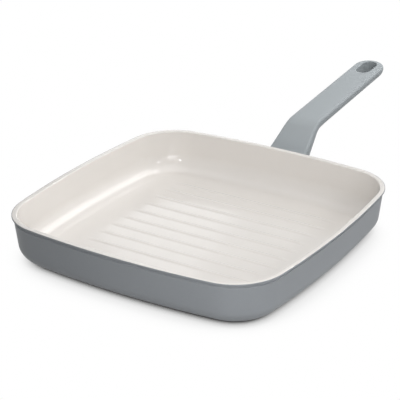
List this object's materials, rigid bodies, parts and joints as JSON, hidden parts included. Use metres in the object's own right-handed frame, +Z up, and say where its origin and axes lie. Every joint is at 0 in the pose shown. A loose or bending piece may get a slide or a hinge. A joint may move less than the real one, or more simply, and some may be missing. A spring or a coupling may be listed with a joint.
{
  "type": "grill pan",
  "caption": "Square grill pan with a pale ceramic lining over raised ridges, a matte grey cast body and a grey angled handle with a hanging slot.",
  "frame": {"origin": "centre of the underside of the base, where the pan stands on the hob", "axes": "+Z up out of the pan, +Y along the handle, +X to the right when the handle points away"},
  "size_m": [0.28, 0.4921, 0.0724],
  "materials": {
    "grey_lacquer": "matte",
    "cream_ceramic": "gloss",
    "brushed_steel": "satin",
    "soft_touch_grey": "matte",
    "screw_steel": "satin"
  },
  "bodies": {
    "root": {"pan_body": "grey_lacquer", "ceramic_lining": "cream_ceramic", "induction_plate": "brushed_steel", "handle": "soft_touch_grey", "handle_screw": "screw_steel", "spring_washer": "screw_steel", "flat_washer": "screw_steel"}
  },
  "joints": []
}
